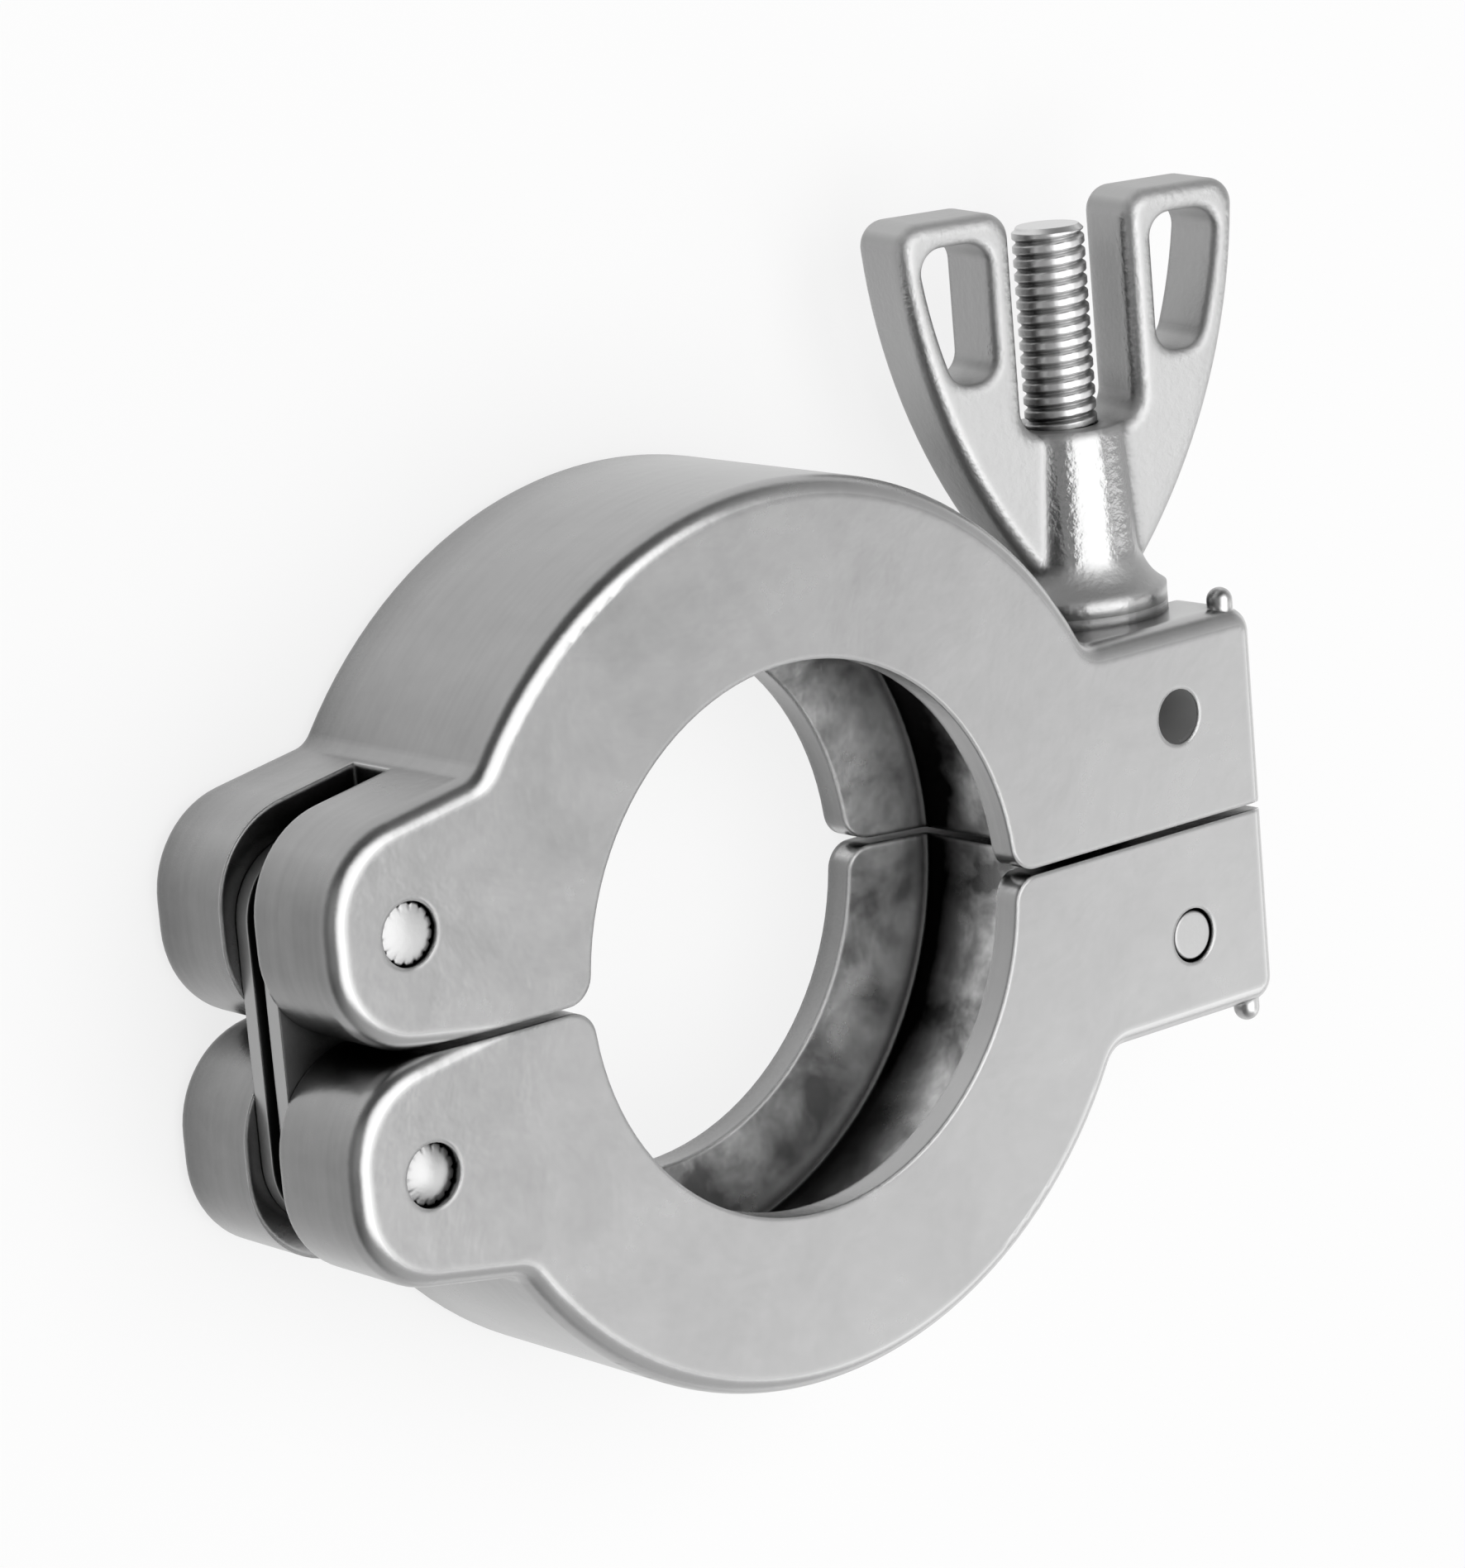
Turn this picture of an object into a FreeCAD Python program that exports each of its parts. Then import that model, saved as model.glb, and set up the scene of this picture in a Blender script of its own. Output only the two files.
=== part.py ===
# Hinged flange clamp: two jaws round a bore, a two-plate link on one side,
# a swing bolt with a wing nut on the other.
# Frame: origin at the centre of the bore, half way through the jaws.
# +Z runs along the bore towards the front face, +X from the hinge to the bolt,
# +Y from the lower jaw to the upper jaw and up the bolt. All lengths are in millimetres.
import FreeCAD, Part
import math
import os

import Sketcher
from FreeCAD import Placement, Rotation, Vector

SIZES = (
    ("ring_outer_radius", 25.2, "outside of the half rings"),
    ("bore_radius", 15.3, "lips that surround the tubes"),
    ("jaw_width", 16.0, "front face to back face"),
    ("parting_gap", 0.4, "between the closed jaws"),
    ("edge_rounding", 1.2, "outer edges of the jaws"),
    ("neck_rounding", 1.5, "inner corners where lug and knuckle leave the ring"),
    ("bore_corner_rounding", 1.6, "where the bore meets the parting face"),
    ("groove_radius", 20.3, "bottom of the groove, round the 40 mm flanges"),
    ("groove_bottom_width", 9.9, "rims of the two flanges and the seal between them"),
    ("flank_angle", 15.0, "slope of the groove's flanks, in degrees"),
    ("knuckle_reach", 31.7, "from the bore axis to the outer side of the knuckle"),
    ("knuckle_height", 12.65, "from the parting plane to the top of the knuckle"),
    ("knuckle_corner_radius", 5.5, "rounded corners of the knuckle"),
    ("knuckle_slope", 10.0, "rise of the web from knuckle to ring, in degrees"),
    ("hinge_pin_inset", 5.05, "from the outer side of the knuckle to the hinge pins"),
    ("hinge_pin_y", 6.45, "from the parting plane to the hinge pins"),
    ("hinge_pin_radius", 1.75, "hinge pins, a press fit in the jaws"),
    ("link_plate_thickness", 1.0, "one plate of the link"),
    ("link_plate_spacing", 1.0, "between the two plates"),
    ("link_plate_radius", 4.1, "round ends of the plates, half their width"),
    ("link_side_clearance", 0.05, "between a plate and its slot wall"),
    ("link_root_clearance", 0.3, "between a plate's edge and the bottom of its slot"),
    ("pivot_clearance", 0.06, "round each pin in the piece that turns on it"),
    ("lug_reach", 35.3, "from the bore axis to the end of the lug"),
    ("lug_height", 11.75, "from the parting plane to the seat of the washer"),
    ("lug_corner_rounding", 1.5, "outer top corner of the lug"),
    ("lug_foot_chamfer", 0.6, "outer corner of the lug on the parting face"),
    ("nub_radius", 0.75, "small round nubs on the outer corners of the lug"),
    ("nub_height", 1.15, "top of a nub above the seat of the washer"),
    ("nub_spacing", 13.4, "between the two nubs of a lug"),
    ("bolt_x", 28.7, "from the bore axis to the bolt and its pin, clear of the ring"),
    ("bolt_pin_y", 6.45, "from the parting plane to the bolt's pin"),
    ("bolt_pin_radius", 1.6, "pin of the bolt, a press fit in the lower lug"),
    ("pin_chamfer", 0.3, "ends of the pins"),
    ("pin_end_inset", 0.1, "pins below the jaw faces"),
    ("bolt_radius", 2.08, "outside of the bolt's thread"),
    ("bolt_length", 40.8, "from the pin to the tip of the bolt"),
    ("bolt_tip_chamfer", 0.3, "tip of the bolt"),
    ("eye_radius", 4.2, "eye of the bolt"),
    ("eye_thickness", 5.4, "eye of the bolt, along its pin"),
    ("eye_side_clearance", 0.3, "between the eye and the slot wall"),
    ("eye_root_clearance", 0.4, "between the eye and the bottom of its slot"),
    ("washer_radius", 5.4, "outside of the washer"),
    ("washer_thickness", 0.6, "washer"),
    ("thread_clearance", 0.05, "round the bolt in the nut and the washer"),
    ("nut_flange_radius", 5.4, "foot of the wing nut"),
    ("nut_flange_thickness", 0.9, "rim of the foot"),
    ("nut_flare_height", 2.4, "concave flare between the rim and the hub"),
    ("hub_foot_radius", 4.0, "hub above the flare"),
    ("hub_top_radius", 3.6, "hub at the bottom of the slot between the wings"),
    ("hub_height", 10.45, "foot of the nut to the bottom of the slot"),
    ("nut_height", 23.5, "foot of the nut to the top of the wings"),
    ("wing_reach", 11.15, "from the bolt to the top of the bow"),
    ("wing_thickness", 5.0, "both wings"),
    ("wing_rounding", 0.75, "edges of the wings"),
    ("wing_bow_radius", 36.0, "bowed outer side of a wing"),
    ("wing_foot_x", 3.1, "from the bolt to the foot of the bow, inside the flare"),
    ("wing_foot_height", 1.8, "foot of the nut to the foot of the bow"),
    ("wing_corner_radius", 1.5, "top corners of the wings and bottom corners of their slot"),
    ("wing_slot_width", 7.7, "between the wings"),
    ("wing_rim", 1.1, "metal between the widest part of a window and the outer edge of its wing"),
    ("window_bow_radius", 30.0, "bowed outer side of a window"),
    ("window_inner_x", 5.35, "from the bolt to the straight side of a window"),
    ("window_foot", 14.0, "foot of the nut to the bottom of a window"),
    ("window_top", 22.0, "foot of the nut to the top of a window"),
    ("window_corner_radius", 1.4, "corners of the windows"),
    ("window_rounding", 0.3, "edges of the windows"),
    ("wing_turn", 12.0, "turn of the wings about the bolt, in degrees"),
)

doc = FreeCAD.newDocument("flange_clamp")
dims = doc.addObject("Spreadsheet::Sheet", "dims")
for row, (alias, value, meaning) in enumerate(SIZES, start=1):
    dims.set(f"A{row}", alias.replace("_", " "))
    dims.set(f"B{row}", str(value))
    dims.set(f"C{row}", meaning)
    dims.setAlias(f"B{row}", alias)
doc.recompute()


def size(alias):
    return float(dims.get(alias))


def bind(obj, **expressions):
    """Bind properties to the sheet; a double underscore stands for a dot."""
    for name, expression in expressions.items():
        obj.setExpression(name.replace("__", "."), expression)
    return obj


def place(obj, x="0", y="0", z="0"):
    return bind(obj, Placement__Base__x=x, Placement__Base__y=y, Placement__Base__z=z)


def box(name, x, y, z, length, width, height):
    """A block with its low corner at x, y, z."""
    obj = doc.addObject("Part::Box", name)
    return place(bind(obj, Length=length, Width=width, Height=height), x, y, z)


def upright(name, radius, height, x, y, z):
    """A cylinder along Z that starts at z."""
    obj = doc.addObject("Part::Cylinder", name)
    return place(bind(obj, Radius=radius, Height=height), x, y, z)


def fuse(name, pieces):
    obj = doc.addObject("Part::MultiFuse", name)
    obj.Shapes = pieces
    obj.Refine = True
    return obj


def cut(name, base, tool):
    obj = doc.addObject("Part::Cut", name)
    obj.Base = base
    obj.Tool = tool
    obj.Refine = True
    return obj


def plane_of(body, role):
    return next(o for o in body.Origin.OriginFeatures if o.Role == role)


def sketch_on(body, role, name):
    sketch = body.newObject("Sketcher::SketchObject", name)
    sketch.AttachmentSupport = [(plane_of(body, role), "")]
    sketch.MapMode = "FlatFace"
    return sketch


def name_sizes(sketch, sizes):
    """Add one named driving dimension per row: the constraint, its name, its value and its expression."""
    for kind, name, value, expression in sizes:
        index = sketch.addConstraint(Sketcher.Constraint(*kind, value))
        sketch.renameConstraint(index, name)
        sketch.setExpression(f"Constraints.{name}", expression)


def upright_edges(shape, points):
    """Names of the edges along Z that lie nearest to the given points in plan."""
    lines = {}
    for number, edge in enumerate(shape.Edges, start=1):
        if edge.Curve.TypeId == "Part::GeomLine" and abs(edge.tangentAt(edge.FirstParameter).z) > 0.999:
            lines[f"Edge{number}"] = edge.CenterOfMass
    names = []
    for x, y in points:
        names.append(min(lines, key=lambda name: (lines[name].x - x) ** 2 + (lines[name].y - y) ** 2))
    return names


def fillet(body, name, radius, edges):
    source = body.Tip
    obj = body.newObject("PartDesign::Fillet", name)
    obj.Base = (source, edges)
    bind(obj, Radius=radius)
    body.Tip = obj
    doc.recompute()
    return obj


HALF_WIDTH = "dims.jaw_width / 2"
HALF_GAP = "dims.parting_gap / 2"
LINK_SLOT = "(2 * dims.link_plate_thickness + dims.link_plate_spacing + 2 * dims.link_side_clearance)"
EYE_SLOT = "(dims.eye_thickness + 2 * dims.eye_side_clearance)"
HINGE_X = "(dims.knuckle_reach - dims.hinge_pin_inset)"
SEAT = "dims.lug_height"
NUT_FOOT = "(dims.lug_height + dims.washer_thickness)"

# The foot of a window gets narrower as the wing's bow gets flatter. Its two corners still have to fit
# on it, and take less than two of their radii, because the outer corner is an open one.
CORNERS_ON_FOOT = 1.8
FOOT_WIDTH = "wing_outline.Constraints.window_foot_width"
WINDOW_CORNER = f"min(dims.window_corner_radius * 1 mm; {FOOT_WIDTH} / {CORNERS_ON_FOOT})"

# The tools that cut the jaws reach this far past the faces.
OVERSHOOT = 1.0
TOOL_START = f"-{HALF_WIDTH} - {OVERSHOOT}"
TOOL_WIDTH = f"dims.jaw_width + 2 * {OVERSHOOT}"

# Below the parting face the uncut blank's outline slopes away at this angle, so that the rounding
# of the outer edges fades out along the parting line. It ends in a round corner under the lug.
SKIRT_SLOPE = "8 * 1 deg"
SKIRT_DEPTH = 14.0
SKIRT_CORNER = 2.0


# Jaw casting, drawn as the upper jaw
def jaw_blank():
    """Ring, knuckle, web and lug in one block, with the outline carried on below the parting face."""
    corner_x = "-(dims.knuckle_reach - dims.knuckle_corner_radius)"
    corner = "dims.knuckle_corner_radius"
    low_y = f"({HALF_GAP} + {corner} * cos({SKIRT_SLOPE}))"
    high_y = f"(dims.knuckle_height - {corner})"
    low_z = f"-{HALF_WIDTH}"
    width = "dims.jaw_width"
    disc = upright("ring_disc", "dims.ring_outer_radius", width, "0", "0", low_z)
    run = "dims.ring_outer_radius"
    under_knuckle = box("ring_under_knuckle", f"{corner_x} - {run}", f"{low_y} - {run}", TOOL_START,
                        run, run, TOOL_WIDTH)
    ring = cut("ring_beside_knuckle", disc, under_knuckle)
    low_round = upright("knuckle_low_round", corner, width, corner_x, low_y, low_z)
    high_round = upright("knuckle_high_round", corner, width, corner_x, high_y, low_z)
    side = box("knuckle_side", "-dims.knuckle_reach", low_y, low_z, corner, f"{high_y} - {low_y}", width)
    web = box("knuckle_web", corner_x, high_y, low_z, f"2 * {corner}", corner, width)
    web.Placement.Rotation = Rotation(Vector(0, 0, 1), 1)
    web.setExpression("Placement.Rotation.Angle", "dims.knuckle_slope * 1 deg")
    foot_x = f"{corner_x} - {corner} * sin({SKIRT_SLOPE})"
    root = box("knuckle_root", foot_x, HALF_GAP, low_z, f"2 * {corner}", corner, width)
    root.Placement.Rotation = Rotation(Vector(0, 0, -1), 1)
    root.setExpression("Placement.Rotation.Angle", SKIRT_SLOPE)
    lug = box("lug_block", "dims.bore_radius", f"-{SKIRT_DEPTH}", low_z,
              "dims.lug_reach - dims.bore_radius", f"dims.lug_height + {SKIRT_DEPTH}", width)
    block = fuse("jaw_block", [ring, low_round, high_round, side, web, root, lug])
    drop = f"2 * {run}"
    below = box("below_skirt",
                f"{foot_x} - {run} * cos({SKIRT_SLOPE}) - {drop} * sin({SKIRT_SLOPE})",
                f"{HALF_GAP} + {run} * sin({SKIRT_SLOPE}) - {drop} * cos({SKIRT_SLOPE})",
                TOOL_START, f"4 * {run}", drop, TOOL_WIDTH)
    below.Placement.Rotation = Rotation(Vector(0, 0, -1), 1)
    below.setExpression("Placement.Rotation.Angle", SKIRT_SLOPE)
    return cut("jaw_blank", block, below)


def web_meets_ring():
    """Where the sloping top of the web runs into the ring."""
    slope = math.radians(size("knuckle_slope"))
    radius = size("knuckle_corner_radius")
    centre = Vector(radius - size("knuckle_reach"), size("knuckle_height") - radius, 0)
    start = centre + Vector(-math.sin(slope), math.cos(slope), 0) * radius
    along = Vector(math.cos(slope), math.sin(slope), 0)
    reach = start.dot(along)
    inside = reach ** 2 - start.dot(start) + size("ring_outer_radius") ** 2
    meet = start - along * (reach + math.sqrt(max(inside, 0.0)))
    return meet.x, meet.y


def outline_arcs(shape):
    """Names of the ring's arcs on both faces; the rounding runs on from them along the outline."""
    names = []
    for number, edge in enumerate(shape.Edges, start=1):
        bounds = edge.BoundBox
        middle = edge.valueAt((edge.FirstParameter + edge.LastParameter) / 2)
        on_a_face = bounds.ZLength < 1e-6 and abs(abs(bounds.ZMin) - size("jaw_width") / 2) < 1e-6
        if on_a_face and middle.y > 0 and edge.Length > size("ring_outer_radius"):
            names.append(f"Edge{number}")
    return names


def rounded_blank():
    """The blank with its corners and its outer edges rounded."""
    body = doc.addObject("PartDesign::Body", "jaw_rounded")
    body.BaseFeature = jaw_blank()
    doc.recompute()
    ring, lug = size("ring_outer_radius"), size("lug_height")
    lug_corner = (size("lug_reach"), lug)
    lug_neck = (math.sqrt(ring ** 2 - lug ** 2), lug)
    fillet(body, "lug_corner", "dims.lug_corner_rounding", upright_edges(body.Shape, [lug_corner]))
    skirt_corner = (size("lug_reach"), -size("lug_height"))
    fillet(body, "skirt_corner", f"{SKIRT_CORNER}", upright_edges(body.Shape, [skirt_corner]))
    necks = upright_edges(body.Shape, [lug_neck, web_meets_ring()])
    fillet(body, "necks", "dims.neck_rounding", necks)
    fillet(body, "outer_edges", "dims.edge_rounding", outline_arcs(body.Shape))
    return body


def half_jaw(body):
    """One side of the parting face, with the bore and its rounded mouth."""
    reach = "2 * dims.ring_outer_radius"
    below = box("below_parting", f"-{reach}", f"-{reach}", TOOL_START,
                f"2 * {reach}", f"{reach} + {HALF_GAP}", TOOL_WIDTH)
    bore = upright("bore", "dims.bore_radius", TOOL_WIDTH, "0", "0", TOOL_START)
    half = cut("jaw_half", body, fuse("bore_and_parting", [below, bore]))
    mouth = doc.addObject("PartDesign::Body", "jaw_mouth")
    mouth.BaseFeature = half
    doc.recompute()
    edge_y = size("parting_gap") / 2
    edge_x = math.sqrt(size("bore_radius") ** 2 - edge_y ** 2)
    corners = upright_edges(mouth.Shape, [(edge_x, edge_y), (-edge_x, edge_y)])
    fillet(mouth, "bore_corners", "dims.bore_corner_rounding", corners)
    return mouth


def groove_tool():
    """The V groove as one turned solid: a bottom band and a cone on each side of it."""
    half_bottom = "dims.groove_bottom_width / 2"
    depth = "(dims.groove_radius - dims.bore_radius)"
    rise = f"{depth} * tan(dims.flank_angle * 1 deg)"
    band = upright("groove_band", "dims.groove_radius", "dims.groove_bottom_width",
                   "0", "0", f"-{half_bottom}")
    pieces = [band]
    for side, sign in (("front", 1), ("back", -1)):
        cone = doc.addObject("Part::Cone", f"groove_{side}_flank")
        wide, narrow = ("Radius1", "Radius2") if sign > 0 else ("Radius2", "Radius1")
        base = half_bottom if sign > 0 else f"-({half_bottom}) - {rise}"
        bind(cone, **{wide: "dims.groove_radius", narrow: "dims.bore_radius", "Height": rise})
        pieces.append(place(cone, z=base))
    return fuse("groove_tool", pieces)


def jaw_cuts():
    """Slots for the link and the bolt, pin holes and the chamfer on the lug's foot."""
    link_x = f"-({HINGE_X} - dims.link_plate_radius - dims.link_root_clearance)"
    link_slot = box("link_slot", f"{link_x} - 2 * dims.knuckle_reach", f"-{OVERSHOOT}", f"-{LINK_SLOT} / 2",
                    "2 * dims.knuckle_reach", "2 * dims.ring_outer_radius", LINK_SLOT)
    bolt_slot = box("bolt_slot", "dims.bolt_x - dims.eye_radius - dims.eye_root_clearance", f"-{OVERSHOOT}",
                    f"-{EYE_SLOT} / 2", "2 * dims.lug_reach", "dims.ring_outer_radius", EYE_SLOT)
    hinge_hole = upright("hinge_hole", "dims.hinge_pin_radius", TOOL_WIDTH,
                         f"-{HINGE_X}", "dims.hinge_pin_y", TOOL_START)
    bolt_hole = upright("bolt_hole", "dims.bolt_pin_radius", TOOL_WIDTH,
                        "dims.bolt_x", "dims.bolt_pin_y", TOOL_START)
    side = "dims.lug_foot_chamfer * sqrt(2)"
    chamfer = box("foot_chamfer", "dims.lug_reach", f"{HALF_GAP} - dims.lug_foot_chamfer", TOOL_START,
                  side, side, TOOL_WIDTH)
    chamfer.Placement.Rotation = Rotation(Vector(0, 0, 1), 45)
    return fuse("jaw_cuts", [groove_tool(), link_slot, bolt_slot, hinge_hole, bolt_hole, chamfer])


def nubs():
    """Two nubs with round tops on the end of the lug, one on each arm of the fork."""
    pieces = []
    x = "dims.lug_reach - 2 * dims.nub_radius"
    for side, sign in (("front", ""), ("back", "-")):
        z = f"{sign}dims.nub_spacing / 2"
        dome = doc.addObject("Part::Sphere", f"nub_{side}_top")
        bind(dome, Radius="dims.nub_radius")
        pieces.append(place(dome, x, f"{SEAT} + dims.nub_height - dims.nub_radius", z))
        stem = doc.addObject("Part::Cylinder", f"nub_{side}_stem")
        bind(stem, Radius="dims.nub_radius", Height="dims.nub_height")
        stem.Placement.Rotation = Rotation(Vector(1, 0, 0), -90)
        pieces.append(place(stem, x, f"{SEAT} - dims.nub_radius", z))
    return pieces


def build_jaws():
    shaped = cut("jaw_shaped", half_jaw(rounded_blank()), jaw_cuts())
    upper = fuse("upper_jaw", [shaped] + nubs())
    lower = doc.addObject("Part::Mirroring", "lower_jaw")
    lower.Source = upper
    lower.Normal = Vector(0, 1, 0)
    return [upper, lower]


# Pins
def build_pin(name, radius, x, y):
    """A pin along Z with chamfered ends, a little below both jaw faces."""
    body = doc.addObject("PartDesign::Body", name)
    length = "(dims.jaw_width - 2 * dims.pin_end_inset)"
    sketch = sketch_on(body, "XY_Plane", f"{name}_section")
    sketch.addGeometry(Part.Circle(Vector(0, 0, 0), Vector(0, 0, 1), size(radius)))
    sketch.addConstraint(Sketcher.Constraint("Coincident", 0, 3, -1, 1))
    sketch.addConstraint(Sketcher.Constraint("Radius", 0, size(radius)))
    sketch.setExpression("Constraints[1]", f"dims.{radius}")
    pad = body.newObject("PartDesign::Pad", f"{name}_length")
    pad.Profile = sketch
    pad.Midplane = True
    bind(pad, Length=length)
    doc.recompute()
    ends = [f"Edge{number}" for number, edge in enumerate(pad.Shape.Edges, start=1)
            if edge.Curve.TypeId == "Part::GeomCircle"]
    chamfer = body.newObject("PartDesign::Chamfer", f"{name}_ends")
    chamfer.Base = (pad, ends)
    bind(chamfer, Size="dims.pin_chamfer")
    body.Tip = chamfer
    return place(body, x, y)


# Link
def build_plate(name, sign):
    """A flat plate with round ends and a hole for each hinge pin."""
    body = doc.addObject("PartDesign::Body", name)
    sketch = sketch_on(body, "XY_Plane", f"{name}_outline")
    reach, radius = size("hinge_pin_y"), size("link_plate_radius")
    hole = size("hinge_pin_radius") + size("pivot_clearance")
    axis = Vector(0, 0, 1)
    top, bottom = Vector(0, reach, 0), Vector(0, -reach, 0)
    side = Vector(radius, 0, 0)
    sketch.addGeometry([
        Part.ArcOfCircle(Part.Circle(top, axis, radius), 0, math.pi),
        Part.LineSegment(top - side, bottom - side),
        Part.ArcOfCircle(Part.Circle(bottom, axis, radius), math.pi, 2 * math.pi),
        Part.LineSegment(bottom + side, top + side),
        Part.Circle(top, axis, hole),
        Part.Circle(bottom, axis, hole),
    ])
    sketch.addConstraint([
        Sketcher.Constraint("Tangent", 0, 2, 1, 1),
        Sketcher.Constraint("Tangent", 1, 2, 2, 1),
        Sketcher.Constraint("Tangent", 2, 2, 3, 1),
        Sketcher.Constraint("Tangent", 3, 2, 0, 1),
        Sketcher.Constraint("PointOnObject", 0, 3, -2),
        Sketcher.Constraint("Symmetric", 0, 3, 2, 3, -1, 1),
        Sketcher.Constraint("Coincident", 4, 3, 0, 3),
        Sketcher.Constraint("Coincident", 5, 3, 2, 3),
        Sketcher.Constraint("Equal", 4, 5),
    ])
    name_sizes(sketch, [
        (("DistanceY", 2, 3, 0, 3), "spacing", 2 * reach, "2 * dims.hinge_pin_y"),
        (("Radius", 0), "end", radius, "dims.link_plate_radius"),
        (("Radius", 4), "hole", hole, "dims.hinge_pin_radius + dims.pivot_clearance"),
    ])
    pad = body.newObject("PartDesign::Pad", f"{name}_thickness")
    pad.Profile = sketch
    bind(pad, Length="dims.link_plate_thickness")
    body.Tip = pad
    inner = "dims.link_plate_spacing / 2"
    low_z = inner if sign > 0 else f"-({inner}) - dims.link_plate_thickness"
    return place(body, f"-{HINGE_X}", z=low_z)


# Swing bolt, along +Y from its pin
def build_bolt():
    pin_y = "-dims.bolt_pin_y"
    shank = doc.addObject("Part::Cylinder", "bolt_shank")
    place(bind(shank, Radius="dims.bolt_radius", Height="dims.bolt_length - dims.bolt_tip_chamfer"),
          "dims.bolt_x", pin_y)
    shank.Placement.Rotation = Rotation(Vector(1, 0, 0), -90)
    tip = doc.addObject("Part::Cone", "bolt_tip")
    place(bind(tip, Radius1="dims.bolt_radius", Radius2="dims.bolt_radius - dims.bolt_tip_chamfer",
               Height="dims.bolt_tip_chamfer"),
          "dims.bolt_x", f"{pin_y} + dims.bolt_length - dims.bolt_tip_chamfer")
    tip.Placement.Rotation = Rotation(Vector(1, 0, 0), -90)
    eye = upright("bolt_eye", "dims.eye_radius", "dims.eye_thickness", "dims.bolt_x", pin_y,
                  "-dims.eye_thickness / 2")
    hole = upright("eye_hole", "dims.bolt_pin_radius + dims.pivot_clearance", "2 * dims.eye_thickness",
                   "dims.bolt_x", pin_y, "-dims.eye_thickness")
    return cut("swing_bolt", fuse("bolt_solid", [shank, tip, eye]), hole)


# Washer
def build_washer():
    body = doc.addObject("PartDesign::Body", "washer")
    sketch = sketch_on(body, "XZ_Plane", "washer_section")
    outer, hole = size("washer_radius"), size("bolt_radius") + size("thread_clearance")
    for radius in (outer, hole):
        circle = sketch.addGeometry(Part.Circle(Vector(0, 0, 0), Vector(0, 0, 1), radius))
        sketch.addConstraint(Sketcher.Constraint("Coincident", circle, 3, -1, 1))
    name_sizes(sketch, [
        (("Radius", 0), "outside", outer, "dims.washer_radius"),
        (("Radius", 1), "hole", hole, "dims.bolt_radius + dims.thread_clearance"),
    ])
    pad = body.newObject("PartDesign::Pad", "washer_thickness")
    pad.Profile = sketch
    pad.Reversed = True
    bind(pad, Length="dims.washer_thickness")
    body.Tip = pad
    return place(body, "dims.bolt_x", SEAT)


# Wing nut, drawn about its own axis with its foot on the XZ plane
def nut_turning():
    """Rim, concave flare and tapered hub, turned about the bolt's axis."""
    body = doc.addObject("PartDesign::Body", "nut_turning")
    sketch = sketch_on(body, "XY_Plane", "nut_section")
    rim, rim_top = size("nut_flange_radius"), size("nut_flange_thickness")
    foot, top = size("hub_foot_radius"), size("hub_top_radius")
    neck, height = rim_top + size("nut_flare_height"), size("hub_height")
    flare_radius = ((neck - rim_top) ** 2 + (rim - foot) ** 2) / (2 * (rim - foot))
    flare_centre = Vector(foot + flare_radius, neck, 0)
    start = math.atan2(rim_top - neck, rim - foot - flare_radius)
    sketch.addGeometry([
        Part.LineSegment(Vector(0, 0, 0), Vector(rim, 0, 0)),
        Part.LineSegment(Vector(rim, 0, 0), Vector(rim, rim_top, 0)),
        Part.ArcOfCircle(Part.Circle(flare_centre, Vector(0, 0, 1), flare_radius), -math.pi, start),
        Part.LineSegment(Vector(foot, neck, 0), Vector(top, height, 0)),
        Part.LineSegment(Vector(top, height, 0), Vector(0, height, 0)),
        Part.LineSegment(Vector(0, height, 0), Vector(0, 0, 0)),
    ])
    sketch.addConstraint([
        Sketcher.Constraint("Coincident", 0, 1, -1, 1),
        Sketcher.Constraint("Coincident", 0, 2, 1, 1),
        Sketcher.Constraint("Coincident", 1, 2, 2, 2),
        Sketcher.Constraint("Tangent", 2, 1, 3, 1),
        Sketcher.Constraint("Coincident", 3, 2, 4, 1),
        Sketcher.Constraint("Coincident", 4, 2, 5, 1),
        Sketcher.Constraint("Coincident", 5, 2, 0, 1),
        Sketcher.Constraint("Horizontal", 0),
        Sketcher.Constraint("Vertical", 1),
        Sketcher.Constraint("Horizontal", 4),
        Sketcher.Constraint("Vertical", 5),
    ])
    name_sizes(sketch, [
        (("DistanceX", 0, 1, 0, 2), "rim_radius", rim, "dims.nut_flange_radius"),
        (("DistanceY", 1, 1, 1, 2), "rim_height", rim_top, "dims.nut_flange_thickness"),
        (("DistanceX", -1, 1, 3, 1), "hub_foot", foot, "dims.hub_foot_radius"),
        (("DistanceY", -1, 1, 3, 1), "neck", neck, "dims.nut_flange_thickness + dims.nut_flare_height"),
        (("DistanceX", 4, 2, 4, 1), "hub_top", top, "dims.hub_top_radius"),
        (("DistanceY", 5, 2, 5, 1), "height", height, "dims.hub_height"),
    ])
    turned = body.newObject("PartDesign::Revolution", "nut_revolution")
    turned.Profile = sketch
    turned.ReferenceAxis = (sketch, ["V_Axis"])
    turned.Angle = 360
    body.Tip = turned
    return body


def bow_point(centre, radius, y):
    """The point of a bow's outer side at one height."""
    return Vector(centre.x + math.sqrt(radius ** 2 - (y - centre.y) ** 2), y, 0)


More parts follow.
